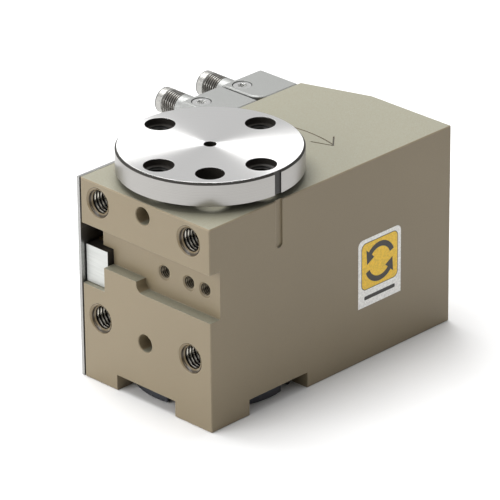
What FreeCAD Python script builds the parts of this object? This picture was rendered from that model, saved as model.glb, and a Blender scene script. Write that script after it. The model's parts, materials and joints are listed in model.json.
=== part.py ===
import FreeCAD, Part
import math
import os
import re
import Sketcher
from FreeCAD import Placement, Rotation, Vector

# Rotary pneumatic actuator. X runs from the front face to the rear, Y from the
# plain side to the side cover, Z up along the output axis. Heights in the sheet
# are measured from the feet; the origin is the centre of the output flange's face.

SIZES = {
    # housing
    "front_reach": 40.0, "rear_reach": 107.0, "plain_reach": 39.3, "cover_reach": 37.3,
    "body_height": 93.5, "rear_cut_start": 7.3, "rear_cut_depth": 10.6,
    "rear_side_reach": 39.9, "cover_end": 44.0, "edge_break": 0.4,
    "channel_half": 17.6, "foot_height": 7.4,
    "recess_depth": 5.8, "recess_low": 50.8, "recess_step": 55.6, "recess_top": 72.8,
    "recess_step_side": 4.6, "recess_corner": 3.6,
    "window_side": 24.0, "window_low": 44.4, "window_top": 72.8,
    "window_high_side": 30.2, "window_step": 62.4,
    "rack_bay_side": 12.2, "rack_bay_front": 31.0, "rack_bay_rear": 38.0,
    "low_neck_radius": 22.0, "low_neck_top": 28.0, "top_neck_radius": 24.0, "chamber_top": 76.0,
    "groove_width": 4.0, "groove_centre": 0.9, "groove_long": 19.8, "groove_depth": 0.8,
    "arrow_radius": 59.1, "arrow_width": 0.7, "arrow_depth": 0.35, "arrow_sweep": 34.0,
    # output flange
    "flange_radius": 40.0, "flange_thick": 10.4, "flange_chamfer": 1.0, "flange_gap": 3.3,
    "flange_circle": 60.0, "flange_hole": 5.0, "flange_mouth": 6.6, "flange_mouth_depth": 2.8,
    "flange_pin": 6.2, "centre_hole": 2.8, "mark_width": 3.8, "mark_depth": 0.6,
    "mark_centre": -0.27,
    "collar_radius": 20.0, "collar_low": 91.3, "hub_radius": 17.5, "hub_low": 79.0,
    "spigot_radius": 10.0, "spigot_top": 99.0, "key_width": 6.0, "key_depth": 3.5, "key_long": 15.6,
    # pinion and rack
    "module": 2.0, "teeth": 16.0, "tooth_play": 0.08, "rack_addendum": 1.8,
    "pinion_low": 42.0, "pinion_top": 65.0, "journal_radius": 12.5, "journal_low": 3.5,
    "journal_top": 32.0,
    "shoulder_radius": 13.2, "chamber_radius": 20.5,
    "rack_front": 30.0, "rack_rear": 12.0, "rack_back": 30.0, "rack_low": 44.8, "rack_top": 62.4,
    # bearings
    "top_bearing_radius": 27.5, "top_bearing_low": 81.0, "top_bearing_thick": 10.0,
    "low_bearing_radius": 26.0, "low_bearing_low": 9.0, "low_bearing_thick": 15.0,
    "ball_gap": 0.05, "cap_radius": 33.0, "cap_thick": 2.5, "cap_screw_circle": 29.9,
    "ring_nut_radius": 34.6, "ring_nut_low": 0.6, "ring_nut_top": 8.8, "ring_nut_bore": 20.0,
    # cylinder
    "bore_radius": 16.0, "bore_side": 18.5, "bore_height": 53.4, "bore_front": 46.5,
    "bore_rear": 86.0, "rod_radius": 6.0, "gland_radius": 13.0, "gland_front": 39.5,
    "piston_front": 47.4, "piston_long": 12.0, "end_cap_radius": 18.0, "end_cap_long": 9.0,
    # bolt holes
    "front_pitch": 54.0, "front_centre": 57.7, "front_hole": 6.0, "front_hole_deep": 18.0,
    "insert_bore": 5.2, "insert_long": 16.0, "dowel_pitch": 59.0, "dowel_hole": 4.0,
    "dowel_deep": 9.0, "port_radius": 3.0, "port_height": 61.5,
    # side cover, sensors, label
    "cover_thick": 2.1, "gasket_thick": 0.6, "gasket_inset": 0.9,
    "sensor_size": 24.0, "sensor_deep": 23.5, "sensor_first": 45.2, "sensor_pitch": 25.3,
    "sensor_low": 69.5, "sensor_axis": 6.2, "plug_height": 87.4, "plug_radius": 6.0,
    "plug_long": 17.0, "rail_low": 61.5,
    "label_near": 48.8, "label_wide": 26.6, "label_low": 25.7, "label_high": 31.9,
    "label_thick": 0.2,
}

# side position and depth of each air port, deepest first
PORTS = [("-30.5", "11"), ("-21", "10"), ("-6.5", "9")]
# places of the screws in the side cover's plane, as (x, height)
COVER_SCREWS = [("-34", "16"), ("-34", "40.5"), ("-34", "75.75"), ("0", "38"), ("20", "82"),
                ("39", "15"), ("39", "82")]
# direction in degrees and length of the two strokes of the arrow's head
ARROW_STROKES = [(109.6, 10.6), (42.0, 9.4)]
STOP_SCREWS = [("-34.2", "49"), ("-34.2", "58")]
RAIL_SCREWS = [("52", "65.5"), ("83", "65.5")]

doc = FreeCAD.newDocument("rotary_actuator")
sheet = doc.addObject("Spreadsheet::Sheet", "Sizes")
for row, (alias, value) in enumerate(SIZES.items(), start=1):
    sheet.set("A%d" % row, alias)
    sheet.set("B%d" % row, "%g" % value)
    sheet.setAlias("B%d" % row, alias)
doc.recompute()


class Size:
    """The sheet's values as plain attributes, for the few shapes that code computes."""

    def __getattr__(self, name):
        return float(getattr(sheet, name))


size = Size()
STACK = "(body_height + flange_gap + flange_thick)"
exported = []


def full(text):
    """An expression with every alias written out as a cell of the sheet."""
    return re.sub(r"[a-z_]{4,}", lambda found: "Sizes." + found.group(0)
                  if found.group(0) in SIZES else found.group(0), str(text))


def bind(obj, **values):
    for name, text in values.items():
        obj.setExpression(name, full(text))
    return obj


def place(obj, x="0", y="0", z="0"):
    obj.setExpression("Placement.Base.x", full(x))
    obj.setExpression("Placement.Base.y", full(y))
    obj.setExpression("Placement.Base.z", full(z))
    return obj


def subpart(obj, label):
    """Names a finished piece and drops it from the foot level to the flange's frame."""
    obj.Label = label
    obj.setExpression("Placement.Base.z", full("-" + STACK))
    exported.append(obj)
    return obj


# ---- primitives -------------------------------------------------------------

def box(x, y, z, dx, dy, dz):
    return place(bind(doc.addObject("Part::Box", "Block"), Length=dx, Width=dy, Height=dz), x, y, z)


def rod(x, y, z, radius, height, along="Z"):
    """A cylinder that starts at (x, y, z) and runs along +X, +Y, -Y or +Z."""
    cylinder = bind(doc.addObject("Part::Cylinder", "Rod"), Radius=radius, Height=height)
    turns = {"Z": Rotation(), "X": Rotation(Vector(0, 1, 0), 90),
             "Y": Rotation(Vector(1, 0, 0), -90), "-Y": Rotation(Vector(1, 0, 0), 90)}
    cylinder.Placement = Placement(Vector(), turns[along])
    return place(cylinder, x, y, z)


def cone(x, y, z, radius_1, radius_2, height, along="Z"):
    solid = bind(doc.addObject("Part::Cone", "Taper"), Radius1=radius_1, Radius2=radius_2,
                 Height=height)
    turns = {"Z": Rotation(), "-Y": Rotation(Vector(1, 0, 0), 90),
             "X": Rotation(Vector(0, 1, 0), 90)}
    solid.Placement = Placement(Vector(), turns[along])
    return place(solid, x, y, z)


def hexagon(x, y, z, radius, height, along="Z"):
    prism = bind(doc.addObject("Part::Prism", "Socket"), Circumradius=radius, Height=height)
    prism.Polygon = 6
    turns = {"Z": Rotation(), "X": Rotation(Vector(0, 1, 0), 90),
             "Y": Rotation(Vector(1, 0, 0), -90)}
    prism.Placement = Placement(Vector(), turns[along])
    return place(prism, x, y, z)


def fuse(*solids):
    joined = doc.addObject("Part::MultiFuse", "Joined")
    joined.Shapes = list(solids)
    return joined


def cut(base, *tools):
    result = doc.addObject("Part::Cut", "Machined")
    result.Base = base
    result.Tool = tools[0] if len(tools) == 1 else fuse(*tools)
    return result


def group(solids):
    compound = doc.addObject("Part::Compound", "Group")
    compound.Links = list(solids)
    return compound


def ring(z, outer, inner, height, x="0", y="0", along="Z"):
    return cut(rod(x, y, z, outer, height, along), rod(x, y, z, inner, height, along))


# ---- sketches and part design ------------------------------------------------

def new_body(name):
    return doc.addObject("PartDesign::Body", name)


def new_sketch(body, plane, x="0", y="0", z="0"):
    """A sketch on one of the body's origin planes, moved in the plane's own directions."""
    sketch = body.newObject("Sketcher::SketchObject", "Sketch")
    base = [item for item in body.Origin.OriginFeatures if item.Role == plane][0]
    sketch.AttachmentSupport = [(base, "")]
    sketch.MapMode = "FlatFace"
    for axis, text in zip("xyz", (x, y, z)):
        sketch.setExpression("AttachmentOffset.Base." + axis, full(text))
    return sketch


def pin_point(sketch, item, point, x, y):
    for kind, text in (("DistanceX", x), ("DistanceY", y)):
        number = sketch.addConstraint(Sketcher.Constraint(kind, -1, 1, item, point, 1.0))
        sketch.setExpression("Constraints[%d]" % number, full(text))


def outline(sketch, points):
    """A closed polygon whose corners are tied to the sheet."""
    count = len(points)
    first = sketch.GeometryCount
    around = [Vector(10 * math.cos(2 * math.pi * i / count), 10 * math.sin(2 * math.pi * i / count), 0)
              for i in range(count)]
    for i in range(count):
        sketch.addGeometry(Part.LineSegment(around[i], around[(i + 1) % count]), False)
    for i in range(count):
        sketch.addConstraint(Sketcher.Constraint("Coincident", first + i, 2, first + (i + 1) % count, 1))
    for i, (x, y) in enumerate(points):
        pin_point(sketch, first + i, 1, x, y)


def rectangle(sketch, x_1, y_1, x_2, y_2):
    outline(sketch, [(x_1, y_1), (x_2, y_1), (x_2, y_2), (x_1, y_2)])


def circle(sketch, x, y, radius):
    item = sketch.addGeometry(Part.Circle(Vector(5, 5, 0), Vector(0, 0, 1), 2), False)
    number = sketch.addConstraint(Sketcher.Constraint("Radius", item, 2.0))
    sketch.setExpression("Constraints[%d]" % number, full(radius))
    pin_point(sketch, item, 3, x, y)


def feature(body, kind, sketch, reverse=False, **values):
    made = body.newObject("PartDesign::" + kind, kind)
    made.Profile = sketch
    made.Reversed = reverse
    sketch.Visibility = False
    return bind(made, **values)


def removes(body, kind, sketch, reverse=False, axis=None, **values):
    """A pocket or groove that has to take material away."""
    doc.recompute()
    before = body.Shape.Volume
    made = feature(body, kind, sketch, reverse, **values)
    if axis:
        made.ReferenceAxis = (sketch, [axis])
    doc.recompute()
    if not body.Shape.Volume < before - 0.01:
        raise RuntimeError("%s on %s removes nothing" % (kind, body.Name))
    return made


def revolve(body, sketch, axis="V_Axis"):
    made = body.newObject("PartDesign::Revolution", "Turned")
    made.Profile = sketch
    made.ReferenceAxis = (sketch, [axis])
    made.Angle = 360
    return made


def dress(body, kind, test, amount):
    """A fillet or chamfer on every edge of the body's last shape that passes the test."""
    doc.recompute()
    names = ["Edge%d" % (i + 1) for i, edge in enumerate(body.Shape.Edges) if test(edge)]
    if not names:
        raise RuntimeError("no edges to dress on " + body.Name)
    made = body.newObject("PartDesign::" + kind, kind)
    made.Base = (body.Tip if body.Tip != made else made.BaseFeature, names)
    return bind(made, **{"Radius" if kind == "Fillet" else "Size": amount})


def close(a, b, room=0.05):
    return abs(a - b) < room


def round_edge(edge, radius, test):
    """Whether an edge is a circle of this radius whose centre passes the test."""
    curve = edge.Curve
    return isinstance(curve, Part.Circle) and close(curve.Radius, radius) and test(curve.Center)


# ---- housing -----------------------------------------------------------------

def make_housing():
    body = new_body("Housing")
    plan = new_sketch(body, "XY_Plane")
    outline(plan, [("-front_reach", "-plain_reach"), ("rear_reach", "-plain_reach"),
                   ("rear_reach", "rear_cut_start"),
                   ("rear_reach - rear_cut_depth", "rear_side_reach"),
                   ("cover_end", "rear_side_reach"), ("cover_end", "cover_reach"),
                   ("-front_reach", "cover_reach")])
    feature(body, "Pad", plan, Length="body_height")
    step = lambda e: any(close(v.X, size.cover_end) for v in e.Vertexes)
    dress(body, "Chamfer", lambda e: len(e.Vertexes) == 2 and not step(e), "edge_break")

    for corners in (("-front_reach - 1", "-channel_half", "0", "channel_half"),
                    ("-channel_half", "-plain_reach - 1", "channel_half", "cover_reach + 1")):
        cross = new_sketch(body, "XY_Plane")
        rectangle(cross, *corners)
        removes(body, "Pocket", cross, True, Length="foot_height")

    recess = new_sketch(body, "YZ_Plane", z="-front_reach")
    outline(recess, [("-plain_reach - 1", "recess_low"), ("recess_step_side", "recess_low"),
                     ("recess_step_side", "recess_step"), ("cover_reach + 1", "recess_step"),
                     ("cover_reach + 1", "recess_top"), ("-plain_reach - 1", "recess_top")])
    removes(body, "Pocket", recess, True, Length="recess_depth")
    dress(body, "Fillet", lambda e: all(close(v.Y, size.recess_step_side) and close(v.Z, size.recess_low)
                                        for v in e.Vertexes), "recess_corner")

    window = new_sketch(body, "YZ_Plane", z="-front_reach")
    outline(window, [("window_side", "window_low"), ("cover_reach + 1", "window_low"),
                     ("cover_reach + 1", "window_top"), ("window_high_side", "window_top"),
                     ("window_high_side", "window_step"), ("window_side", "window_step")])
    removes(body, "Pocket", window, True, Length="front_reach")
    bay = new_sketch(body, "XZ_Plane", z="-cover_reach")
    rectangle(bay, "-rack_bay_front", "window_low", "rack_bay_rear", "window_top")
    removes(body, "Pocket", bay, True, Length="cover_reach - rack_bay_side")

    shaft_bore = new_sketch(body, "XZ_Plane")
    outline(shaft_bore, [
        ("0", "-1"), ("ring_nut_radius + 0.2", "-1"), ("ring_nut_radius + 0.2", "ring_nut_top"),
        ("low_bearing_radius", "ring_nut_top"),
        ("low_bearing_radius", "low_bearing_low + low_bearing_thick"),
        ("low_neck_radius", "low_bearing_low + low_bearing_thick"),
        ("low_neck_radius", "low_neck_top"), ("chamber_radius", "low_neck_top"),
        ("chamber_radius", "chamber_top"), ("top_neck_radius", "chamber_top"),
        ("top_neck_radius", "top_bearing_low"),
        ("top_bearing_radius", "top_bearing_low"), ("top_bearing_radius", "body_height - cap_thick"),
        ("cap_radius", "body_height - cap_thick"), ("cap_radius", "body_height + 1"),
        ("0", "body_height + 1")])
    removes(body, "Groove", shaft_bore, axis="V_Axis", Angle="360")

    cylinder = new_sketch(body, "XY_Plane", y="bore_side", z="bore_height")
    outline(cylinder, [
        ("rack_bay_rear - 1", "0"), ("rack_bay_rear - 1", "rod_radius + 2"),
        ("gland_front", "rod_radius + 2"), ("gland_front", "gland_radius"),
        ("bore_front", "gland_radius"), ("bore_front", "bore_radius"), ("bore_rear", "bore_radius"),
        ("bore_rear", "end_cap_radius"), ("bore_rear + end_cap_long", "end_cap_radius"),
        ("bore_rear + end_cap_long", "end_cap_radius + 0.9"),
        ("bore_rear + end_cap_long + 1.6", "end_cap_radius + 0.9"),
        ("bore_rear + end_cap_long + 1.6", "end_cap_radius"), ("rear_reach + 1", "end_cap_radius"),
        ("rear_reach + 1", "0")])
    removes(body, "Groove", cylinder, axis="H_Axis", Angle="360")

    for radius, deep, spots in (
            ("front_hole", "front_hole_deep",
             [("%s front_pitch / 2" % a, "front_centre %s front_pitch / 2" % b)
              for a in ("-", "") for b in ("-", "+")]),
            ("dowel_hole", "dowel_deep",
             [("0", "front_centre %s dowel_pitch / 2" % b) for b in ("-", "+")])):
        face = new_sketch(body, "YZ_Plane", z="-front_reach")
        for spot in spots:
            circle(face, *spot, radius)
        removes(body, "Pocket", face, True, Length=deep)
    for side, deep in PORTS:
        port = new_sketch(body, "YZ_Plane", z="-front_reach + recess_depth")
        circle(port, side, "port_height", "port_radius")
        removes(body, "Pocket", port, True, Length=deep)

    at_front = lambda c: close(c.x, -size.front_reach)
    dress(body, "Chamfer", lambda e: round_edge(e, size.front_hole, at_front), "1")
    dress(body, "Chamfer", lambda e: round_edge(e, size.dowel_hole, at_front), "0.4")
    dress(body, "Chamfer", lambda e: round_edge(e, size.port_radius, lambda c: close(
        c.x, size.recess_depth - size.front_reach)), "0.65")

    mark = new_sketch(body, "XZ_Plane", z="plain_reach")
    rectangle(mark, "groove_centre - groove_width / 2", "body_height - groove_long",
              "groove_centre + groove_width / 2", "body_height + 1")
    removes(body, "Pocket", mark, False, Length="groove_depth")
    mark_end = new_sketch(body, "XZ_Plane", z="plain_reach")
    circle(mark_end, "groove_centre", "body_height - groove_long", "groove_width / 2")
    removes(body, "Pocket", mark_end, False, Length="groove_depth")

    # the turning arrow: an arc about the output axis, and the two strokes of its head
    arc = new_sketch(body, "XZ_Plane")
    rectangle(arc, "arrow_radius", "body_height - arrow_depth", "arrow_radius + arrow_width",
              "body_height + 1")
    turn = removes(body, "Groove", arc, axis="V_Axis", Angle="arrow_sweep")
    turn.Midplane = True
    tip = Vector(size.arrow_radius * math.cos(math.radians(size.arrow_sweep / 2)),
                 -size.arrow_radius * math.sin(math.radians(size.arrow_sweep / 2)))
    for angle, reach in ARROW_STROKES:
        along = Vector(math.cos(math.radians(angle)), math.sin(math.radians(angle)))
        half = Vector(-along.y, along.x) * size.arrow_width / 2
        start = tip - along * size.arrow_width / 2
        end = tip + along * reach
        stroke = new_sketch(body, "XY_Plane", z="body_height")
        outline(stroke, [("%.4f" % point.x, "%.4f" % point.y)
                         for point in (start + half, start - half, end - half, end + half)])
        removes(body, "Pocket", stroke, False, Length="arrow_depth")

    screws = new_sketch(body, "XY_Plane", z="body_height - cap_thick")
    for x, y in cap_screw_spots():
        circle(screws, x, y, "1.5")
    removes(body, "Pocket", screws, False, Length="6")
    side = new_sketch(body, "XZ_Plane", z="-cover_reach")
    for x, z in COVER_SCREWS:
        circle(side, x, z, "2")
    removes(body, "Pocket", side, True, Length="7.5")
    rail = new_sketch(body, "XZ_Plane", z="-rear_side_reach")
    for x, z in RAIL_SCREWS:
        circle(rail, x, z, "2")
    removes(body, "Pocket", rail, True, Length="5.6")
    return subpart(body, "housing")


def cap_screw_spots():
    return [("cap_screw_circle * cos(%d deg)" % a, "cap_screw_circle * sin(%d deg)" % a)
            for a in range(30, 360, 60)]


# ---- output flange, shaft and bearings ---------------------------------------

def make_flange():
    body = new_body("Flange")
    half = new_sketch(body, "XZ_Plane")
    top = STACK
    low = "(body_height + flange_gap)"
    outline(half, [
        ("0", "spigot_top"), ("spigot_radius", "spigot_top"), ("spigot_radius", "hub_low"),
        ("hub_radius", "hub_low"), ("hub_radius", "collar_low"), ("collar_radius", "collar_low"),
        ("collar_radius", low), ("flange_radius", low),
        ("flange_radius", top + " - flange_chamfer"),
        ("flange_radius - 0.85 * flange_chamfer", top), ("0", top)])
    revolve(body, half)
    for distance, radius, deep, angles in (
            ("flange_circle / 2", "flange_hole", "flange_thick", (0, 90, 180, 270)),
            ("flange_circle / 2", "flange_mouth", "flange_mouth_depth", (0, 90, 180, 270)),
            ("flange_circle / 2", "flange_pin", "flange_thick", (225,)),
            ("0", "centre_hole", "6", (0,))):
        holes = new_sketch(body, "XY_Plane", z=top)
        for angle in angles:
            circle(holes, "%s * cos(%d deg)" % (distance, angle),
                   "%s * sin(%d deg)" % (distance, angle), radius)
        removes(body, "Pocket", holes, False, Length=deep)
    mark = new_sketch(body, "XY_Plane", z=top)
    rectangle(mark, "mark_centre - mark_width / 2", "-flange_radius - 1",
              "mark_centre + mark_width / 2", "-flange_radius + mark_depth")
    removes(body, "Pocket", mark, False, Length="flange_thick")
    keyway = new_sketch(body, "XY_Plane", z="hub_low")
    rectangle(keyway, "0", "-key_width / 2", "spigot_radius + 2.6", "key_width / 2")
    removes(body, "Pocket", keyway, True, Length="17")
    return subpart(body, "output_flange")


def tooth_profile():
    """Half-widths of one pinion tooth: root, base circle, pitch circle and tip."""
    pitch = size.module * size.teeth / 2
    base = pitch * math.cos(math.radians(20))
    tip = pitch + size.module * 0.9

    def half_angle(radius):
        turn = math.acos(base / radius)
        pressure = math.radians(20)
        middle = math.pi / (2 * size.teeth) - size.tooth_play / pitch
        return middle + (math.tan(pressure) - pressure) - (math.tan(turn) - turn)

    radii = (pitch - 1.25 * size.module - 0.3, base + 0.001, pitch, tip)
    angles = (half_angle(base + 0.001), half_angle(base + 0.001), half_angle(pitch), half_angle(tip))
    return list(zip(radii, angles))


def polar(radius, angle):
    return Vector(radius * math.cos(angle), radius * math.sin(angle), 0)


def make_shaft():
    body = new_body("PinionShaft")
    half = new_sketch(body, "XZ_Plane")
    core = "(module * teeth / 2 - 1.25 * module)"
    outline(half, [
        ("0", "journal_low"), ("journal_radius", "journal_low"), ("journal_radius", "journal_top"),
        (core, "journal_top"), (core, "pinion_top"), ("shoulder_radius", "pinion_top"),
        ("shoulder_radius", "hub_low"), ("spigot_radius", "hub_low"),
        ("spigot_radius", "spigot_top - 0.5"), ("0", "spigot_top - 0.5")])
    revolve(body, half)
    doc.recompute()
    tooth = new_sketch(body, "XY_Plane", z="pinion_low")
    root, base, pitch, tip = tooth_profile()
    turn = math.pi / size.teeth + math.pi / 2
    left = [polar(r, turn + a) for r, a in (root, base, pitch, tip)]
    right = [polar(r, turn - a) for r, a in (root, base, pitch, tip)]
    crown = polar(tip[0], turn)
    flank_left = Part.Arc(left[1], left[2], left[3])
    flank_right = Part.Arc(right[3], right[2], right[1])
    for line in (Part.LineSegment(left[0], left[1]), flank_left, Part.Arc(left[3], crown, right[3]),
                 flank_right, Part.LineSegment(right[1], right[0]),
                 Part.LineSegment(right[0], left[0])):
        sketch_item = tooth.addGeometry(line, False)
        tooth.addConstraint(Sketcher.Constraint("Block", sketch_item))
    pad = feature(body, "Pad", tooth, Length="pinion_top - pinion_low")
    pattern = body.newObject("PartDesign::PolarPattern", "Teeth")
    pattern.Originals = [pad]
    pattern.Axis = (tooth, ["N_Axis"])
    pattern.Angle = 360
    bind(pattern, Occurrences="teeth")
    body.Tip = pattern
    keyway = new_sketch(body, "XY_Plane", z="hub_low + 1")
    rectangle(keyway, "spigot_radius - key_depth", "-key_width / 2", "spigot_radius + 2",
              "key_width / 2")
    removes(body, "Pocket", keyway, True, Length="16")
    return subpart(body, "pinion_shaft")


def make_bearing(name, low, thick, outer, inner, count):
    """Outer ring, inner ring and ball set of a deep-groove bearing."""
    middle = (outer + inner) / 2
    ball = (outer - inner) * 0.29
    height = "%s + %s / 2" % (low, thick)
    race = doc.addObject("Part::Torus", "Race")
    bind(race, Radius1="%g" % middle, Radius2="%g + ball_gap" % ball)
    place(race, z=height)
    land = ball * 0.62
    shells = []
    for big, small in ((outer, middle + land), (middle - land, inner)):
        tube = ring(low, "%g" % big, "%g" % small, thick)
        shells.append(cut(tube, race))
    subpart(shells[0], name + "_outer_ring")
    subpart(shells[1], name + "_inner_ring")
    balls = []
    for i in range(count):
        angle = 360.0 * i / count
        sphere = bind(doc.addObject("Part::Sphere", "Ball"), Radius="%g" % ball)
        place(sphere, "%g * cos(%g deg)" % (middle, angle), "%g * sin(%g deg)" % (middle, angle), height)
        balls.append(sphere)
    subpart(group(balls), name + "_balls")


def make_shaft_pieces():
    key = box("spigot_radius - key_depth", "-key_width / 2", "hub_low + 1.2", "key_width",
              "key_width", "key_long")
    subpart(group([key]), "shaft_key")
    nut = ring("journal_low + 0.3", "16.5", "journal_radius", "5.2")
    slots = [box("-2.5", "14.6", "journal_low", "5", "4", "6") for _ in range(4)]
    for i, slot in enumerate(slots):
        slot.Placement = Placement(Vector(), Rotation(Vector(0, 0, 1), 90 * i))
        angle = 90 * i
        place(slot, "-2.5 * cos(%d deg) - 14.6 * sin(%d deg)" % (angle, angle),
              "-2.5 * sin(%d deg) + 14.6 * cos(%d deg)" % (angle, angle), "journal_low")
    subpart(cut(nut, *slots), "shaft_lock_nut")

    lock = ring("ring_nut_low", "ring_nut_radius", "ring_nut_bore", "ring_nut_top - ring_nut_low")
    notches = []
    for i in range(4):
        angle = 196.7 + 90 * i
        notch = box("0", "0", "0", "8", "6.6", "12")
        notch.Placement = Placement(Vector(), Rotation(Vector(0, 0, 1), angle))
        place(notch, "30 * cos(%g deg) + 3.3 * sin(%g deg)" % (angle, angle),
              "30 * sin(%g deg) - 3.3 * cos(%g deg)" % (angle, angle), "-1")
        notches.append(notch)
    subpart(cut(lock, *notches), "bearing_ring_nut")

    cap = ring("body_height - cap_thick", "cap_radius - 0.05", "collar_radius + 4", "cap_thick")
    sinks = [cone(x, y, "body_height - cap_thick", "1.6", "3.0", "cap_thick")
             for x, y in cap_screw_spots()]
    subpart(cut(cap, *sinks), "bearing_cap")
    screws = []
    for x, y in cap_screw_spots():
        screw = fuse(cone(x, y, "body_height - cap_thick", "1.5", "2.9", "cap_thick - 0.05"),
                     rod(x, y, "body_height - cap_thick - 5.5", "1.5", "6"))
        screws.append(cut(screw, hexagon(x, y, "body_height - 1.5", "1.15", "2")))
    subpart(group(screws), "bearing_cap_screws")
    seal = ring("body_height - cap_thick + 0.2", "collar_radius + 3.95", "collar_radius + 0.05",
                "cap_thick - 0.4")
    subpart(seal, "shaft_seal")


# ---- rack and cylinder --------------------------------------------------------

def make_rack():
    body = new_body("Rack")
    pitch_line = "module * teeth / 2"
    bar = new_sketch(body, "XY_Plane", z="rack_low")
    rectangle(bar, "-rack_front", pitch_line + " - rack_addendum", "rack_rear", "rack_back")
    feature(body, "Pad", bar, Length="rack_top - rack_low")
    step = math.pi * size.module
    tip = step / 4 + size.tooth_play + size.rack_addendum * math.tan(math.radians(20))
    root = step / 4 + size.tooth_play - 1.25 * size.module * math.tan(math.radians(20))
    first = -5 * step
    gap = new_sketch(body, "XY_Plane", z="rack_top")
    # a space of the rack stands where the pinion's tooth stands, half a pitch off centre
    middle = first + step / 2
    outline(gap, [("%.5f" % (middle - tip), pitch_line + " - rack_addendum - 0.001"),
                  ("%.5f" % (middle + tip), pitch_line + " - rack_addendum - 0.001"),
                  ("%.5f" % (middle + root), pitch_line + " + 1.25 * module"),
                  ("%.5f" % (middle - root), pitch_line + " + 1.25 * module")])
    pocket = removes(body, "Pocket", gap, False, Length="rack_top - rack_low")
    pattern = body.newObject("PartDesign::LinearPattern", "Spaces")
    pattern.Originals = [pocket]
    pattern.Direction = (gap, ["H_Axis"])
    pattern.Length = step * 6
    pattern.Occurrences = 7
    body.Tip = pattern
    dress(body, "Chamfer", lambda e: all(close(v.Y, size.rack_back) for v in e.Vertexes)
          and len(e.Vertexes) == 2 and e.Length > 30, "0.6")
    return subpart(body, "rack")


def make_cylinder_pieces():
    """Everything on the cylinder's centre line, from the rod to the retaining ring."""
    axis = {"y": "bore_side", "z": "bore_height"}

    def turned(start, radius, length):
        return rod(start, axis["y"], axis["z"], radius, length, "X")

    def washer(start, outer, inner, length):
        return cut(turned(start, outer, length), turned(start, inner, length))

    end = "piston_front + piston_long"
    stem = fuse(turned("rack_rear", "rod_radius", end + " - rack_rear - 9"),
                turned(end + " - 9.5", "4", "15"))
    subpart(stem, "piston_rod")
    grooves = [washer("piston_front + %s" % a, "bore_radius", "bore_radius - 2.4", w)
               for a, w in (("1.5", "2.2"), ("8.3", "2.2"), ("4.6", "2.8"))]
    piston = cut(turned("piston_front", "bore_radius - 0.1", "piston_long"),
                 turned("piston_front", "rod_radius", "3"), turned("piston_front", "4", "piston_long"),
                 *grooves)
    subpart(piston, "piston")
    seals = [washer("piston_front + %s" % a, "bore_radius - 0.02", "bore_radius - 2.4", "2.2")
             for a in ("1.5", "8.3")]
    subpart(group(seals), "piston_seals")
    subpart(washer("piston_front + 4.6", "bore_radius - 0.3", "bore_radius - 2.4", "2.8"),
            "piston_magnet")
    nut = cut(hexagon(end + " + 0.05", axis["y"], axis["z"], "7.4", "3.6", "X"),
              turned(end, "4", "4"))
    subpart(nut, "piston_nut")

    gland = washer("gland_front", "gland_radius", "rod_radius + 0.05", "bore_front - gland_front")
    gland = cut(gland, washer("gland_front + 2.4", "rod_radius + 1.8", "rod_radius", "2.2"))
    subpart(gland, "rod_gland")
    subpart(washer("gland_front + 2.4", "rod_radius + 1.8", "rod_radius + 0.03", "2.2"), "rod_seal")

    cap = cut(turned("bore_rear", "end_cap_radius - 0.02", "end_cap_long"),
              turned("bore_rear", "8.5", "5.5"),
              washer("bore_rear + 3", "end_cap_radius", "end_cap_radius - 1.9", "2.4"),
              turned("bore_rear + 6.5", "2.5", "5"))
    subpart(cap, "end_cap")
    subpart(washer("bore_rear + 3", "end_cap_radius - 0.02", "end_cap_radius - 1.9", "2.4"),
            "end_cap_seal")
    opening = box("bore_rear + end_cap_long - 1", "bore_side - 3.5",
                  "bore_height - end_cap_radius - 2", "4", "7", "8")
    subpart(cut(washer("bore_rear + end_cap_long + 0.1", "end_cap_radius + 0.8",
                       "end_cap_radius - 3", "1.4"), opening), "retaining_ring")


# ---- side cover, guide, stop, inserts, sensors, label -------------------------

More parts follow.
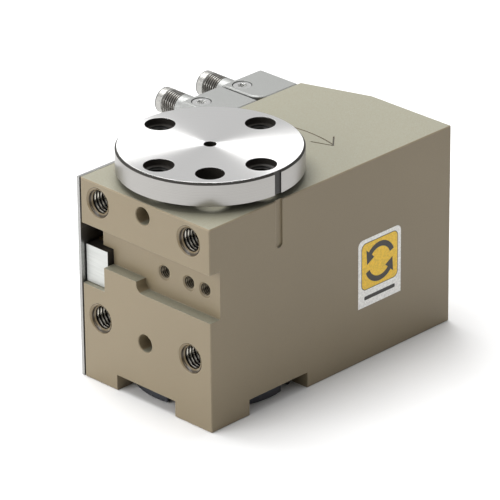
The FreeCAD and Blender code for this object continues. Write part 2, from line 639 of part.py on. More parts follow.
def make_side_pieces():
    outer = "cover_reach + cover_thick"
    screws = COVER_SCREWS + STOP_SCREWS
    gasket = box("-front_reach + gasket_inset", "cover_reach", "gasket_inset",
                 "cover_end + front_reach - 2 * gasket_inset", "gasket_thick",
                 "body_height - 2 * gasket_inset")
    opening = box("-front_reach", "cover_reach", "window_low", "front_reach + rack_bay_rear",
                  "gasket_thick", "window_top - window_low")
    holes = [rod(x, "cover_reach", z, "2.1", "gasket_thick", "Y") for x, z in COVER_SCREWS]
    subpart(cut(gasket, opening, *holes), "side_gasket")

    body = new_body("SideCover")
    plate = new_sketch(body, "XZ_Plane", z="-cover_reach - gasket_thick")
    rectangle(plate, "-front_reach", "0.3", "cover_end - 0.1", "body_height - 0.2")
    feature(body, "Pad", plate, reverse=True, Length="cover_thick - gasket_thick")
    holes = new_sketch(body, "XZ_Plane", z="-cover_reach - cover_thick")
    for x, z in screws:
        circle(holes, x, z, "2.1")
    removes(body, "Pocket", holes, True, Length="cover_thick")
    dress(body, "Chamfer", lambda e: round_edge(e, 2.1, lambda c: close(
        c.y, size.cover_reach + size.cover_thick)), "1.3")
    subpart(body, "side_cover")

    def side_screws(spots, length):
        made = []
        for x, z in spots:
            shank = rod(x, outer + " - 0.1", z, "1.95", length, "-Y")
            head = cone(x, outer + " - 0.1", z, "3.25", "1.95", "1.3", "-Y")
            socket = hexagon(x, outer + " - 1.6", z, "1.45", "2", "Y")
            made.append(cut(fuse(shank, head), socket))
        return group(made)

    subpart(side_screws(COVER_SCREWS, "8.5"), "side_cover_screws")
    subpart(side_screws(STOP_SCREWS, "8.5"), "stop_block_screws")

    stop = box("-front_reach + 2.5", "window_side + 0.3", "window_low + 0.3", "6.9",
               "cover_reach - window_side - 0.4", "window_step - window_low - 0.8")
    bores = [rod(x, "cover_reach", z, "2", "9", "-Y") for x, z in STOP_SCREWS]
    subpart(cut(stop, *bores), "stop_block")

    guide = box("-rack_front", "rack_back + 0.05", "window_low + 0.1", "rack_bay_rear + rack_front - 0.5",
                "cover_reach - rack_back - 0.1", "rack_top - window_low - 0.2")
    subpart(group([guide]), "rack_guide")

    tubes = []
    for a in ("-", ""):
        for b in ("-", "+"):
            y = "%s front_pitch / 2" % a
            z = "front_centre %s front_pitch / 2" % b
            x = "-front_reach + 1.2"
            tubes.append(cut(rod(x, y, z, "front_hole", "insert_long", "X"),
                             rod(x, y, z, "insert_bore", "insert_long", "X")))
    subpart(group(tubes), "front_thread_inserts")

    label = box("label_near", "-plain_reach - label_thick", "label_low", "label_wide", "label_thick",
                "label_high")
    subpart(group([label]), "label")


def make_sensors():
    face = "rear_side_reach"
    front = "(rear_side_reach + sensor_deep)"
    rail = box("sensor_first", face, "rail_low", "sensor_pitch + sensor_size", "sensor_deep - 3", "7.6")
    holes = [rod(x, face, z, "1.95", "12", "Y") for x, z in RAIL_SCREWS]
    taps = [rod("sensor_first + sensor_axis + %d * sensor_pitch" % i,
                front + " - sensor_axis", "rail_low", "2.1", "9") for i in range(2)]
    subpart(cut(rail, *holes, *taps), "sensor_rail")
    screws = [cut(rod(x, face + " + 12", z, "1.9", "16", "-Y"),
                  rod(x, face + " + 11", z, "1", "2", "Y")) for x, z in RAIL_SCREWS]
    subpart(group(screws), "sensor_rail_studs")

    heads, inserts = [], []
    for i, name in enumerate(("front_sensor", "rear_sensor")):
        start = "sensor_first + %d * sensor_pitch" % i
        middle = start + " + sensor_axis"
        body = new_body(name.title().replace("_", ""))
        plan = new_sketch(body, "XY_Plane", z="sensor_low")
        rectangle(plan, start, face + " + 0.5", start + " + sensor_size", front)
        feature(body, "Pad", plan, Length="body_height - sensor_low")
        near = size.sensor_first + i * size.sensor_pitch
        wall = size.rear_side_reach + 0.5
        dress(body, "Fillet", lambda e: all(close(v.X, near) and close(v.Y, wall) for v in e.Vertexes),
              "7.4")
        dress(body, "Chamfer", lambda e: all(close(v.Z, size.body_height) for v in e.Vertexes), "0.5")
        neck = new_sketch(body, "XZ_Plane", z="-" + front + " + 1")
        circle(neck, middle, "plug_height", "plug_radius - 0.1")
        feature(body, "Pad", neck, reverse=True, Length="plug_long - 11")
        hole = new_sketch(body, "XY_Plane", z="body_height")
        circle(hole, middle, front + " - sensor_axis", "4.5")
        removes(body, "Pocket", hole, False, Length="5")
        through = new_sketch(body, "XY_Plane", z="body_height")
        circle(through, middle, front + " - sensor_axis", "2.2")
        removes(body, "Pocket", through, False, Length="body_height - sensor_low")
        subpart(body, name)

        outer = front + " + plug_long - 12"
        relief = cut(rod(middle, outer + " - 1", "plug_height", "plug_radius + 1", "2", "Y"),
                     rod(middle, outer + " - 1", "plug_height", "plug_radius - 0.8", "2", "Y"))
        sleeve = cut(rod(middle, outer, "plug_height", "plug_radius", "12", "Y"),
                     rod(middle, outer + " + 3", "plug_height", "plug_radius - 1.6", "9", "Y"),
                     relief)
        subpart(sleeve, name + "_plug")
        carrier = fuse(rod(middle, outer + " + 3", "plug_height", "plug_radius - 1.7", "1.6", "Y"),
                       *[rod("%s + 2.4 * cos(%d deg)" % (middle, a), outer + " + 4",
                             "plug_height + 2.4 * sin(%d deg)" % a, "0.5", "6", "Y")
                         for a in (45, 135, 225, 315)])
        inserts.append(carrier)
        seat = front + " - sensor_axis"
        screw = fuse(rod(middle, seat, "body_height - 4.9", "4.1", "4.6"),
                     rod(middle, seat, "rail_low + 1", "2", "body_height - rail_low - 5"))
        heads.append(cut(screw, hexagon(middle, seat, "body_height - 3", "2.3", "3")))
    subpart(group(heads), "sensor_screws")
    subpart(group(inserts), "sensor_pins")


make_housing()
make_flange()
make_shaft()
make_bearing("top_bearing", "top_bearing_low", "top_bearing_thick", 27.5, 17.5, 16)
make_bearing("low_bearing", "low_bearing_low", "low_bearing_thick", 26.0, 12.5, 9)
make_shaft_pieces()
make_rack()
make_cylinder_pieces()
make_side_pieces()
make_sensors()

doc.recompute()
for item in doc.Objects:
    if "Invalid" in item.State or "Error" in item.State:
        raise RuntimeError("%s (%s) failed: %s" % (item.Name, item.Label, item.State))

os.makedirs("parts", exist_ok=True)
for item in exported:
    shape = item.Shape
    if shape.isNull() or not shape.isValid() or not shape.Solids:
        raise RuntimeError("bad shape: " + item.Label)
    shape.exportStep("parts/%s.step" % item.Label)
    print("%-24s %2d solids %10.1f mm3" % (item.Label, len(shape.Solids), shape.Volume))
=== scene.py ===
import json
import math

import bpy
from mathutils import Matrix, Vector

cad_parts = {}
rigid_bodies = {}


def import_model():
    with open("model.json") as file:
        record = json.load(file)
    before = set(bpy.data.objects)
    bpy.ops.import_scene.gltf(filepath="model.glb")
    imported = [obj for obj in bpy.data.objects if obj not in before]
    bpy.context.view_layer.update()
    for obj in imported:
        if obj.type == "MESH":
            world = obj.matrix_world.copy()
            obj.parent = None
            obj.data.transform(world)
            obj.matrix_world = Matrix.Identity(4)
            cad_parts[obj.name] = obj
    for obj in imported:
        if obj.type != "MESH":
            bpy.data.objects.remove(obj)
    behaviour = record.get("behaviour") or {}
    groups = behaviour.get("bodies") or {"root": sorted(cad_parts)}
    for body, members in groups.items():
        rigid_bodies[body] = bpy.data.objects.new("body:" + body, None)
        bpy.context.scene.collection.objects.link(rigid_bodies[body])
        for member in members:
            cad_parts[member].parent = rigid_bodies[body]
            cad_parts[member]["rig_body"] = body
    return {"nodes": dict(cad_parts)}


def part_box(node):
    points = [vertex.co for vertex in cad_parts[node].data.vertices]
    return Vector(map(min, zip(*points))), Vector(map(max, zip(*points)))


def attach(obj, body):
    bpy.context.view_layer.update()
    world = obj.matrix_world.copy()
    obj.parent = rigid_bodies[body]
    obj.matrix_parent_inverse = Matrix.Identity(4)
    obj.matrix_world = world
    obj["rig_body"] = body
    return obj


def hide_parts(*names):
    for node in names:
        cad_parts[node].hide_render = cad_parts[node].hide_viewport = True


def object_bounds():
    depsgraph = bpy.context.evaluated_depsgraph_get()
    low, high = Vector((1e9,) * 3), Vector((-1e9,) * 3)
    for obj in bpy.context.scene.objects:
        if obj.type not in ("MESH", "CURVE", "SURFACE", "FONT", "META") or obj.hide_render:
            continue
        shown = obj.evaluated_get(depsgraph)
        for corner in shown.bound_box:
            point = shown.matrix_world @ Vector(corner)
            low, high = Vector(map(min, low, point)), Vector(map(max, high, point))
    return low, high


# Looks of the rotary actuator. Everything is in metres in the CAD frame: the origin is the
# centre of the output flange's face, X runs to the rear, Y to the side cover, Z up.

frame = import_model()
cad_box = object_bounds()
MM = 0.001
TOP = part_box("housing")[1].z                # top face of the housing
FLANGE_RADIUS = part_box("output_flange")[1].x

# Sizes that the boxes of the CAD's sub-parts don't show.
FRONT_PITCH = 54 * MM           # side of the square of front bolt holes
PORT_SIDES = (-30.5 * MM, -21.0 * MM, -6.5 * MM)
PORT_FACE = -33.4 * MM          # where the air ports' threads begin, behind their chamfers
PORT_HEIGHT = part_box("housing")[0].z + 61.5 * MM
PORT_RADIUS, PORT_LONG = 3 * MM, 8.4 * MM
BOLT_CIRCLE = 60 * MM
FLANGE_THICK, FLANGE_HOLE, FLANGE_THREAD = 10.4 * MM, 5 * MM, 7.2 * MM

# Threads, as depth and pitch.
COIL_DEPTH, COIL_PITCH = 0.80 * MM, 1.75 * MM
PORT_DEPTH, PORT_PITCH = 0.5 * MM, 1.0 * MM
FLANGE_DEPTH, FLANGE_PITCH = 0.6 * MM, 1.5 * MM
PLUG_DEPTH, PLUG_PITCH = 0.62 * MM, 1.27 * MM

# The tapped mouth of the front holes.
FRONT_MOUTH = -37.6 * MM    # the wire coils begin behind this x
FRONT_START = 1.1 * MM      # how far the thread begins before the insert does
FRONT_FLARE = 1.5           # how much the mouth widens for each unit of height
FRONT_TAPER = 1.2 * MM      # the height in which its thread fades out

HAIR = 0.02 * MM            # keeps a lining off the wall of its hole
ROOM = 0.06 * MM            # keeps the root of a lining's thread off that wall
GRAIN_HEIGHT = 0.05 * MM    # height of the finest surface grain


def make_object(name, vertices, faces, smooth=True):
    """A mesh object from its points and faces."""
    mesh = bpy.data.meshes.new(name)
    mesh.from_pydata([tuple(v) for v in vertices], [], faces)
    mesh.validate()
    if smooth:
        mesh.shade_smooth()
    made = bpy.data.objects.new(name, mesh)
    bpy.context.scene.collection.objects.link(made)
    return made


# ---- camera, floor and light ---------------------------------------------------

CAMERA_PLACE = Vector((-1.1234, -1.1401, 0.7107))
CAMERA_HEADING = 45.16      # degrees from +Y towards +X
CAMERA_DROP = 25.40         # degrees below the horizon
CAMERA_ROLL = -0.53
SENSOR_WIDTH = 36.0
LENS = 301.5


def make_camera():
    data = bpy.data.cameras.new("camera")
    data.sensor_width = SENSOR_WIDTH
    data.lens = LENS
    data.clip_start, data.clip_end = 0.05, 20
    camera = bpy.data.objects.new("camera", data)
    bpy.context.scene.collection.objects.link(camera)
    heading, drop = math.radians(CAMERA_HEADING), math.radians(CAMERA_DROP)
    ahead = Vector((math.sin(heading) * math.cos(drop), math.cos(heading) * math.cos(drop),
                    -math.sin(drop)))
    level = ahead.to_track_quat("-Z", "Y").to_matrix().to_4x4()
    roll = Matrix.Rotation(math.radians(CAMERA_ROLL), 4, "Z")
    camera.matrix_world = Matrix.Translation(CAMERA_PLACE) @ level @ roll
    bpy.context.scene.camera = camera


def make_light(name, place, aim, side, power):
    """A square soft light at a place, turned to its aim."""
    data = bpy.data.lights.new(name, "AREA")
    data.shape = "RECTANGLE"
    data.size = data.size_y = side
    data.energy = power
    light = bpy.data.objects.new(name, data)
    bpy.context.scene.collection.objects.link(light)
    light.location = place
    light.rotation_mode = "QUATERNION"
    light.rotation_quaternion = (Vector(aim) - Vector(place)).to_track_quat("-Z", "Y")


def make_world(strength, dim_side, dim_strength):
    """An even white room whose walls are dimmer towards one side."""
    world = bpy.data.worlds.new("studio")
    world.use_nodes = True
    tree = world.node_tree
    aim = tree.nodes.new("ShaderNodeTexCoord").outputs["Generated"]
    turn = tree.nodes.new("ShaderNodeVectorMath")
    turn.operation = "DOT_PRODUCT"
    tree.links.new(aim, turn.inputs[0])
    turn.inputs[1].default_value = Vector(dim_side).normalized()
    fade = tree.nodes.new("ShaderNodeMapRange")
    tree.links.new(turn.outputs["Value"], fade.inputs["Value"])
    for name, number in (("From Min", 0.55), ("From Max", 0.95), ("To Min", strength),
                         ("To Max", dim_strength)):
        fade.inputs[name].default_value = number
    background = tree.nodes["Background"]
    background.inputs["Color"].default_value = (1, 1, 1, 1)
    tree.links.new(fade.outputs[0], background.inputs["Strength"])
    bpy.context.scene.world = world


def make_floor(material):
    """A wide pale sweep that the feet stand on."""
    half = 6.0
    height = cad_box[0].z
    floor = make_object("floor", [(-half, -half, height), (half, -half, height),
                                  (half, half, height), (-half, half, height)], [(0, 1, 2, 3)])
    floor.data.materials.append(material)


# ---- material graphs -------------------------------------------------------------

class Graph:
    """Short calls for the nodes of one material. Values may be numbers or other nodes' sockets."""

    def __init__(self, name):
        self.material = bpy.data.materials.new(name)
        self.material.use_nodes = True
        self.tree = self.material.node_tree
        self.shader = self.tree.nodes["Principled BSDF"]
        self.place = self.node("ShaderNodeTexCoord").outputs["Object"]

    def node(self, kind, settings=None, **inputs):
        made = self.tree.nodes.new(kind)
        for name, value in (settings or {}).items():
            setattr(made, name, value)
        for name, value in inputs.items():
            self.put(made.inputs[name.replace("_", " ")], value)
        return made

    def put(self, socket, value):
        if isinstance(value, bpy.types.NodeSocket):
            self.tree.links.new(value, socket)
        elif value is not None:
            socket.default_value = value

    def math(self, operation, a, b=None):
        made = self.node("ShaderNodeMath", {"operation": operation})
        for socket, value in zip(made.inputs, (a, b)):
            self.put(socket, value)
        return made.outputs[0]

    def axes(self, socket=None):
        """The three parts of a vector, by default of the place in the object's space."""
        made = self.node("ShaderNodeSeparateXYZ", Vector=socket or self.place)
        return made.outputs["X"], made.outputs["Y"], made.outputs["Z"]

    def facing(self):
        """The three parts of the surface's own normal."""
        return self.axes(self.node("ShaderNodeNewGeometry").outputs["Normal"])

    def within(self, value, low, high):
        """1 where the value lies between low and high."""
        above = self.math("GREATER_THAN", value, low)
        return self.math("MULTIPLY", above, self.math("LESS_THAN", value, high))

    def noise(self, scale, detail=3.0, stretch=(1, 1, 1), roughness=0.55):
        space = self.node("ShaderNodeMapping", Vector=self.place, Scale=stretch)
        made = self.node("ShaderNodeTexNoise", Vector=space.outputs[0], Scale=scale,
                         Detail=detail, Roughness=roughness)
        return made.outputs["Fac"]

    def ramp(self, value, low, high, start=0.3, end=0.7):
        """Maps a value, by default a noise, from start and end to low and high."""
        return self.node("ShaderNodeMapRange", Value=value, From_Min=start, From_Max=end,
                         To_Min=low, To_Max=high).outputs[0]

    def tint(self, share, a, b):
        """A colour between a and b. Each is a tuple or a socket."""
        made = self.node("ShaderNodeMix", {"data_type": "RGBA"})
        self.put(made.inputs["Factor"], share)
        for socket, colour in zip([s for s in made.inputs if s.type == "RGBA"], (a, b)):
            self.put(socket, (*colour, 1) if isinstance(colour, tuple) else colour)
        return [s for s in made.outputs if s.type == "RGBA"][0]

    def bump(self, height, strength, distance, normal=None):
        made = self.node("ShaderNodeBump", Height=height, Strength=strength, Distance=distance)
        if normal is not None:
            self.put(made.inputs["Normal"], normal)
        return made.outputs[0]

    def rounded(self, radius):
        """A normal that rounds the edges by a radius, and a mask of those edges."""
        soft = self.node("ShaderNodeBevel", {"samples": 6}, Radius=radius).outputs[0]
        true = self.node("ShaderNodeNewGeometry").outputs["Normal"]
        turn = self.node("ShaderNodeVectorMath", {"operation": "DOT_PRODUCT"})
        self.put(turn.inputs[0], soft)
        self.put(turn.inputs[1], true)
        return soft, self.ramp(turn.outputs["Value"], 0, 1, 0.995, 0.93)

    def finish(self, **inputs):
        """Sets the shader's sockets and gives the material."""
        for name, value in inputs.items():
            self.put(self.shader.inputs[name.replace("_", " ")], value)
        return self.material


def shade(colour, factor):
    return tuple(channel * factor for channel in colour)


def anodised_body():
    """Hard-anodised khaki: satin grain, slow colour drift, a paler top of painted sheen, light edges
    of wear and painted highlight, dark engraving.
    """
    g = Graph("anodised_body")
    # Faces that point up get a paler, greyer khaki: a painted sheen of the light from above.
    khaki, top_sheen_khaki = (0.230, 0.185, 0.116), (0.250, 0.250, 0.196)
    worn_highlight_khaki, engraving = (0.46, 0.40, 0.30), (0.030, 0.024, 0.016)
    up = g.facing()[2]
    cloud = g.ramp(g.noise(14, 2), 0, 1)
    # drift holds the random colour drift and, on faces that point up, the painted top sheen.
    drift = g.tint(g.math("GREATER_THAN", up, 0.9),
                   g.tint(cloud, shade(khaki, 0.95), shade(khaki, 1.05)),
                   g.tint(cloud, shade(top_sheen_khaki, 0.96), shade(top_sheen_khaki, 1.04)))
    grain = g.noise(2600, 2)
    base = g.tint(g.ramp(grain, 0, 0.5), drift, shade(khaki, 0.88))
    soft, edge = g.rounded(0.3 * MM)
    # Lighter edges, patchy by noise: partly wear, partly a painted highlight along the edges.
    wear_and_highlight = g.math("MULTIPLY", edge, g.ramp(g.noise(260, 3), 0.25, 0.6))
    base = g.tint(wear_and_highlight, base, worn_highlight_khaki)
    engraved = g.math("MULTIPLY", g.math("GREATER_THAN", up, 0.95),
                      g.within(g.axes()[2], TOP - 0.6 * MM, TOP - 0.1 * MM))
    base = g.tint(g.math("MULTIPLY", engraved, 0.85), base, engraving)
    milling = g.noise(900, 2, (1, 1, 0.05))
    normal = g.bump(grain, 0.10, GRAIN_HEIGHT, g.bump(milling, 0.05, GRAIN_HEIGHT, soft))
    return g.finish(Base_Color=base, Roughness=g.ramp(grain, 0.42, 0.50), Normal=normal,
                    Specular_IOR_Level=0.35, Coat_Weight=0.15, Coat_Roughness=0.28)


def turned_steel():
    """Steel flange with a bright turned face and a rim darkened by painted shade. The rest is painted
    black: a painted dark reflection on the chamfer, painted shade in the holes and under the flange,
    and the index mark's own black inlay. Rings round the output axis stretch the highlight."""
    g = Graph("turned_steel")
    x, y, height = g.axes()
    radius = g.math("SQRT", g.math("ADD", g.math("MULTIPLY", x, x), g.math("MULTIPLY", y, y)))
    lines = g.node("ShaderNodeTexNoise", {"noise_dimensions": "1D"},
                   W=g.math("SUBTRACT", radius, height), Scale=5200, Detail=3,
                   Roughness=0.6).outputs["Fac"]
    ringed = g.ramp(lines, 0, 1)
    bright_face = g.tint(ringed, (0.82, 0.815, 0.805), (0.97, 0.965, 0.955))
    # The rim is a darker copy of the face's steel: painted shade on the flange's side.
    rim_with_painted_shade = g.tint(ringed, (0.33, 0.32, 0.305), (0.40, 0.39, 0.375))
    black = g.tint(g.ramp(g.noise(1800, 2), 0, 1), (0.016, 0.014, 0.012), (0.030, 0.027, 0.023))
    # The chamfer, the holes and the underside lie between these and get the black: a painted dark
    # reflection on the chamfer, painted shade in the holes and under the flange. The index mark's
    # groove is black too, as its own inlay.
    face_floor, rim_inside, rim_top = -0.04 * MM, FLANGE_RADIUS - 0.08 * MM, -1.02 * MM
    face = g.math("GREATER_THAN", height, face_floor)
    rim = g.math("MULTIPLY", g.math("GREATER_THAN", radius, rim_inside),
                 g.math("LESS_THAN", height, rim_top))
    turned = g.math("MAXIMUM", face, rim)
    soft = g.node("ShaderNodeBevel", {"samples": 4}, Radius=0.12 * MM).outputs[0]
    tangent = g.node("ShaderNodeTangent", {"direction_type": "RADIAL", "axis": "Z"}).outputs[0]
    return g.finish(Base_Color=g.tint(turned, black, g.tint(face, rim_with_painted_shade, bright_face)),
                    Metallic=turned, Roughness=g.ramp(turned, 0.42, 0.30, 0, 1),
                    Anisotropic=0.85, Tangent=tangent, Normal=g.bump(lines, 0.06, 0.02 * MM, soft))


def worked_metal(name, colour, roughness, metallic=1.0, grain=1500, streak=(1, 1, 1), bump=0.08,
                 edge_radius=0.2, contrast=0.12):
    """A metal with a grain that colours it, roughens it and stands out a little."""
    g = Graph(name)
    texture = g.noise(grain, 3, streak)
    base = g.tint(g.ramp(texture, 0, 1), shade(colour, 1 - contrast), shade(colour, 1 + contrast))
    normal = None
    if edge_radius:
        normal, edge = g.rounded(edge_radius * MM)
        # Lighter edges: a painted highlight along every edge.
        base = g.tint(g.math("MULTIPLY", edge, 0.5), base, shade(colour, 1.25))
    return g.finish(Base_Color=base, Metallic=metallic,
                    Roughness=g.ramp(texture, roughness - 0.05, roughness + 0.05),
                    Normal=g.bump(texture, bump, GRAIN_HEIGHT, normal))


def grooved_metal(name, crest, root, roughness, metallic=1.0, mouth=None):
    """Thread flanks: the "groove" attribute is 0 on the crests and 1 at the roots, whose colour is
    painted shade between the crests. In front of the mouth's x the thread is cut in the housing, so
    it has the housing's colour, with painted shade darkening towards the roots."""
    g = Graph(name)
    depth = g.node("ShaderNodeAttribute", {"attribute_name": "groove"}).outputs["Fac"]
    texture = g.noise(1500, 2)
    high = g.tint(g.ramp(texture, 0, 1), shade(crest, 0.9), shade(crest, 1.1))
    # The root colour is painted shade between the crests.
    base = g.tint(g.ramp(depth, 0, 1, 0.10, 0.60), high, root)
    if mouth is not None:
        # The tapped mouth: housing brown on the crests, painted shade darkening towards the roots.
        tapped = g.tint(g.ramp(depth, 0, 1), (0.22, 0.17, 0.10), (0.055, 0.042, 0.027))
        inside = g.math("GREATER_THAN", g.axes()[0], mouth)
        base = g.tint(inside, tapped, base)
        metallic = g.math("MULTIPLY", inside, metallic)
    return g.finish(Base_Color=base, Metallic=metallic,
                    Roughness=g.ramp(texture, roughness - 0.04, roughness + 0.06),
                    Normal=g.bump(texture, 0.08, GRAIN_HEIGHT))


def ground_block():
    """Block whose front face is ground bright; its other faces are painted black as shade inside the
    housing's window.
    """
    g = Graph("bright_block")
    ground = g.math("LESS_THAN", g.facing()[0], -0.9)
    lines = g.noise(1500, 3, (1, 0.05, 1))
    # All faces but the front: painted black shade.
    base = g.tint(ground, (0.020, 0.017, 0.014),
                  g.tint(g.ramp(lines, 0, 1), (0.50, 0.51, 0.49), (0.58, 0.59, 0.57)))
    return g.finish(Base_Color=base, Metallic=g.math("MULTIPLY", ground, 0.35),
                    Roughness=g.ramp(lines, 0.45, 0.55), Normal=g.bump(lines, 0.05, GRAIN_HEIGHT))


def soft_plastic(name, colour, roughness):
    """Plastic, rubber or printed film with a fine moulded grain."""
    g = Graph(name)
    texture = g.noise(1200, 2)
    base = g.tint(g.ramp(texture, 0, 1), shade(colour, 0.85), shade(colour, 1.15))
    return g.finish(Base_Color=base, Roughness=g.ramp(texture, roughness - 0.06, roughness + 0.06),
                    Normal=g.bump(texture, 0.12, GRAIN_HEIGHT))


def floor_paint():
    """Matt white with a barely visible drift."""
    g = Graph("floor_paint")
    texture = g.noise(30, 2)
    return g.finish(Base_Color=g.tint(texture, (0.80, 0.80, 0.80), (0.82, 0.82, 0.82)),
                    Roughness=0.9)


materials = {
    "anodised_body": anodised_body(),
    "turned_steel": turned_steel(),
    "gear_steel": worked_metal("gear_steel", (0.40, 0.40, 0.41), 0.32),
    "bearing_steel": worked_metal("bearing_steel", (0.62, 0.62, 0.63), 0.16, edge_radius=0),
    "black_steel": worked_metal("black_steel", (0.05, 0.052, 0.06), 0.45, 0.6),
    "seal_rubber": soft_plastic("seal_rubber", (0.022, 0.022, 0.022), 0.7),
    "plain_aluminium": worked_metal("plain_aluminium", (0.62, 0.62, 0.63), 0.34),
    "magnet": soft_plastic("magnet", (0.06, 0.06, 0.065), 0.55),
    "bright_screw": worked_metal("bright_screw", (0.82, 0.82, 0.81), 0.22, bump=0.04),
    "bronze": worked_metal("bronze", (0.50, 0.33, 0.14), 0.35),
    "cover_plate": worked_metal("cover_plate", (0.36, 0.36, 0.35), 0.36, streak=(0.03, 1, 1)),
    "bright_block": ground_block(),
    "insert_steel": worked_metal("insert_steel", (0.66, 0.645, 0.61), 0.25, edge_radius=0),
    "label_film": soft_plastic("label_film", (0.93, 0.60, 0.03), 0.35),
    "sensor_metal": worked_metal("sensor_metal", (0.34, 0.345, 0.335), 0.42, 0.75, grain=1900,
                                 bump=0.25, contrast=0.10),
    "plug_metal": worked_metal("plug_metal", (0.34, 0.335, 0.32), 0.33, 0.85),
    "pin_brass": worked_metal("pin_brass", (0.75, 0.55, 0.20), 0.25),
}

for node in frame["nodes"].values():
    for index, old in enumerate(node.data.materials):
        node.data.materials[index] = materials[old.name.split(".")[0]]


# ---- turned pieces -----------------------------------------------------------------

def turned_piece(name, profile, place, along, material, body, sides=72):
    """Turns a closed profile about the line through place. Each point is (height, radius, groove,
    pitch, depth): the surface moves inwards by groove times a helical V wave of that pitch
    (outwards for a negative groove), and depth is the "groove" attribute where there is no thread."""
    aim = Vector(along).to_track_quat("Z", "Y").to_matrix().to_4x4()
    move = Matrix.Translation(place) @ aim
    vertices, depths = [], []
    for height, radius, groove, pitch, depth in profile:
        for i in range(sides):
            angle = 2 * math.pi * i / sides
            wave = abs(2 * ((height / pitch - i / sides) % 1) - 1) if pitch else 0
            reach = radius - groove * wave
            vertices.append(move @ Vector((reach * math.cos(angle), reach * math.sin(angle), height)))
            depths.append(wave if groove else depth)
    rows = len(profile)
    faces = [(j * sides + i, j * sides + (i + 1) % sides,
              (j + 1) % rows * sides + (i + 1) % sides, (j + 1) % rows * sides + i)
             for j in range(rows) for i in range(sides)]
    piece = make_object(name, vertices, faces)
    piece.data.attributes.new("groove", "FLOAT", "POINT").data.foreach_set("value", depths)
    piece.data.materials.append(material)
    piece.data.set_sharp_from_angle(angle=math.radians(50))
    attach(piece, body)
    return piece


def thread(start, end, radius, groove, pitch, steps=8):
    """Profile points of a thread between two heights, finely enough for its helix to show."""
    count = max(2, round(abs(end - start) / pitch * steps))
    return [(start + (end - start) * i / count, radius, groove, pitch, 0) for i in range(count + 1)]


def plain(*points, depth=0):
    """Profile points without a thread, each given as (height, radius)."""
    return [(height, radius, 0, 0, depth) for height, radius in points]


def lining(height, radius, long, depth, pitch):
    """Profile of the thread that lines a hole of this radius from a height on."""
    skin = radius - HAIR
    return (plain((height, skin))
            + thread(height, height + long, radius - ROOM - depth, -depth, pitch)
            + plain((height + long, skin)))


def join(name, pieces, slot, *replaced):
    """Makes one object of several that ride on the same body."""
    body = pieces[0]["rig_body"]
    with bpy.context.temp_override(active_object=pieces[0], selected_editable_objects=pieces,
                                   selected_objects=pieces):
        bpy.ops.object.join()
    whole = pieces[0]
    whole.name = name
    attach(whole, body)
    if replaced:
        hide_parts(*replaced)


def make_front_inserts(material):
    """Wire thread inserts: bright coils in the four big front holes, behind a tapped mouth that
    widens into the chamfer."""
    low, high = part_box("front_thread_inserts")
    outer = (high.z - low.z - FRONT_PITCH) / 2
    long = high.x - low.x
    middle = (low.z + high.z) / 2
    crest = outer - 2 * ROOM - COIL_DEPTH
    coils = []
    for side in (-1, 1):
        for level in (-1, 1):
            place = (low.x, side * FRONT_PITCH / 2, middle + level * FRONT_PITCH / 2)
            tapped = [(height, radius + max(0, -height) * FRONT_FLARE,
                       groove * min(1, 1 + height / FRONT_TAPER), pitch, depth)
                      for height, radius, groove, pitch, depth in
                      thread(-FRONT_START, long, crest, -COIL_DEPTH, COIL_PITCH)]
            # The insert's far end gets depth 1 and so the root colour: painted shade deep in the
            # hole.
            profile = (plain((-1.0 * MM, outer + 0.95 * MM)) + tapped
                       + plain((long, outer - HAIR), depth=1))
            coils.append(turned_piece("coil", profile, place, (1, 0, 0), material, "case"))
    join("wire_thread_inserts", coils, "insert_steel", "front_thread_inserts")


def make_port_threads(material):
    """Threads of the three air ports in the front recess."""
    profile = lining(0, PORT_RADIUS, PORT_LONG, PORT_DEPTH, PORT_PITCH)
    threads = [turned_piece("port", profile, (PORT_FACE, side, PORT_HEIGHT), (1, 0, 0), material,
                            "case", 48) for side in PORT_SIDES]
    join("port_threads", threads, "anodised_body")


def make_flange_threads(material):
    """Threads of the flange's four bolt holes, below their widened mouths."""
    profile = lining(0, FLANGE_HOLE, FLANGE_THREAD, FLANGE_DEPTH, FLANGE_PITCH)
    threads = []
    for quarter in range(4):
        angle = math.radians(90 * quarter)
        place = (BOLT_CIRCLE / 2 * math.cos(angle), BOLT_CIRCLE / 2 * math.sin(angle),
                 -FLANGE_THICK + 0.2 * MM)
        threads.append(turned_piece("flange_thread", profile, place, (0, 0, 1), material,
                                    "output", 60))
    join("flange_threads", threads, "turned_steel")


def make_plug(name, metal, rubber):
    """A round sensor plug: fine thread, plain collar, open end with a thin black rim."""
    low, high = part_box(name)
    radius, long = (high.x - low.x) / 2, high.y - low.y
    place = ((low.x + high.x) / 2, low.y, (low.z + high.z) / 2)
    collar = long - 3.7 * MM        # where the thread ends and the collar begins
    seat = long - 0.5 * MM          # where the black rim sits
    bore = radius - 1.6 * MM
    skin = radius - HAIR
    profile = (plain((0, bore), (0, radius - 0.15 * MM))
               + thread(0.3 * MM, collar - 0.5 * MM, skin, PLUG_DEPTH, PLUG_PITCH)
               + plain((collar - 0.3 * MM, radius - 0.45 * MM), (collar, skin),
                       (seat - 0.05 * MM, skin), (seat, radius - 0.35 * MM),
                       (long - HAIR, radius - 0.5 * MM), (long - HAIR, bore + 0.4 * MM),
                       (long - 0.4 * MM, bore)))
    plug = turned_piece(name + "_threaded", profile, place, (0, 1, 0), metal, "case", 96)
    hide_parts(name)
    face = radius - 0.03 * MM
    rim = plain((seat, radius - 0.4 * MM), (seat, face), (long - 0.12 * MM, face),
                (long, radius - 0.15 * MM), (long, radius - 0.55 * MM))
    black_end_rim = turned_piece(name + "_rim", rim, place, (0, 1, 0), rubber, "case", 96)


# ---- label -------------------------------------------------------------------------

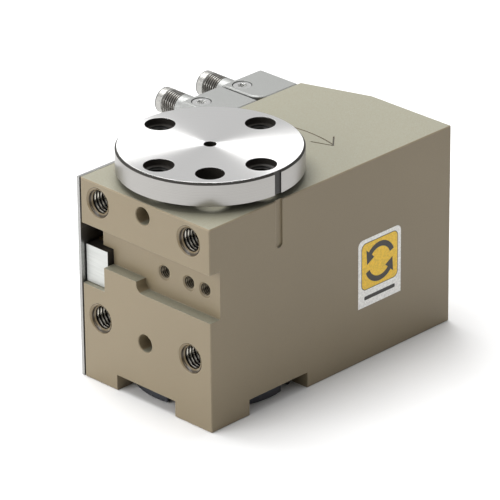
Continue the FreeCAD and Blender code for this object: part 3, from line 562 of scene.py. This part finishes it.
def outline_plate(name, outline, y_back, y_front, material):
    """A thin plate on the plain side. The outline is a list of (x, z) points."""
    count = len(outline)
    vertices = [(x, y, z) for y in (y_front, y_back) for x, z in outline]
    faces = [tuple(range(count)), tuple(range(2 * count - 1, count - 1, -1))]
    faces += [(i, count + i, count + (i + 1) % count, (i + 1) % count) for i in range(count)]
    piece = make_object(name, vertices, faces, smooth=False)
    piece.data.materials.append(material)
    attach(piece, "case")
    return piece


def rounded_outline(x_1, z_1, x_2, z_2, low_radius, high_radius, steps=8):
    """A rectangle's outline with its lower and its upper corners rounded."""
    corners = [(x_1, z_1, low_radius, 180), (x_2, z_1, low_radius, 270),
               (x_2, z_2, high_radius, 0), (x_1, z_2, high_radius, 90)]
    points = []
    for x, z, radius, start in corners:
        inner_x = x + (radius if x == x_1 else -radius)
        inner_z = z + (radius if z == z_1 else -radius)
        for i in range(steps + 1 if radius else 1):
            angle = math.radians(start + 90 * i / steps)
            points.append((inner_x + radius * math.cos(angle), inner_z + radius * math.sin(angle)))
    return points


def turning_arrow(x, z, radius, width, start, sweep, steps=24):
    """An arc that ends in an arrow head, one half of a rotation symbol."""
    def spot(reach, degrees):
        angle = math.radians(degrees)
        return x + reach * math.cos(angle), z + reach * math.sin(angle)
    turns = [start + sweep * i / steps for i in range(steps + 1)]
    head = [spot(radius - 1.3 * width, turns[-1]), spot(radius, turns[-1] + 38),
            spot(radius + 1.3 * width, turns[-1])]
    return ([spot(radius + width / 2, turn) for turn in turns] + head[::-1]
            + [spot(radius - width / 2, turn) for turn in reversed(turns)])


def make_label(white, yellow, black):
    """White film with a yellow field and a neutral turning symbol."""
    low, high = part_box("label")
    width, height = high.x - low.x, high.z - low.z
    step = 0.03 * MM
    layers = [low.y + step * i for i in range(4)]       # the frontmost first
    corner, line_width = 2.8 * MM, 0.35 * MM
    side, top, foot = 1.9 * MM, 1.8 * MM, 7.9 * MM      # margins round the yellow field
    film = outline_plate("label_film", rounded_outline(low.x, low.z, high.x, high.z, 0, corner),
                         high.y, layers[3], white)
    edge = (low.x + side, low.z + foot, high.x - side, high.z - top)
    line = outline_plate("label_line", rounded_outline(*edge, corner, corner), layers[3],
                         layers[2], black)
    inner = (edge[0] + line_width, edge[1] + line_width, edge[2] - line_width,
             edge[3] - line_width)
    field = outline_plate("label_field", rounded_outline(*inner, 2.5 * MM, 2.5 * MM), layers[2],
                          layers[1], yellow)
    centre = ((edge[0] + edge[2]) / 2, (edge[1] + edge[3]) / 2)
    symbol = [outline_plate("turn_%d" % (start + 1),
                            turning_arrow(*centre, 0.30 * width, 0.095 * width, start, 118),
                            layers[1], layers[0], black) for start in (20, 200)]
    stripe = (low.x + 0.14 * width, low.z + 0.10 * height, high.x - 0.14 * width,
              low.z + 0.155 * height)
    bar = outline_plate("label_bar", rounded_outline(*stripe, 0.6 * MM, 0.6 * MM), layers[3],
                        layers[2], black)
    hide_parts("label")


# ---- the scene ---------------------------------------------------------------------

# The second colour of each thread is the painted shade in its roots.
make_front_inserts(grooved_metal("coil_steel", (0.62, 0.59, 0.52), (0.012, 0.010, 0.008), 0.22,
                                mouth=FRONT_MOUTH))
make_port_threads(grooved_metal("port_thread", (0.30, 0.25, 0.17), (0.010, 0.008, 0.006), 0.35, 0.6))
make_flange_threads(grooved_metal("flange_thread", (0.05, 0.047, 0.043), (0.004, 0.004, 0.004),
                                  0.4, 0.5))
plug_metal = grooved_metal("plug_thread", (0.40, 0.395, 0.375), (0.08, 0.07, 0.058), 0.34, 0.85)
for plug_name in ("front_sensor_plug", "rear_sensor_plug"):
    make_plug(plug_name, plug_metal, materials["seal_rubber"])
make_label(soft_plastic("label_white", (0.80, 0.79, 0.76), 0.35),
           soft_plastic("label_yellow", (0.80, 0.50, 0.015), 0.35),
           soft_plastic("label_black", (0.020, 0.017, 0.014), 0.4))

bpy.context.scene.view_settings.view_transform = "Standard"
make_camera()
make_world(0.58, (-0.5, -1, 0), 0.05)
make_floor(floor_paint())
make_light("top_softbox", (0.10, 0.45, 1.30), (0.03, 0, -0.05), 1.2, 30)
make_light("front_softbox", (-1.25, 0.45, 0.45), (0, 0, -0.05), 0.9, 11)
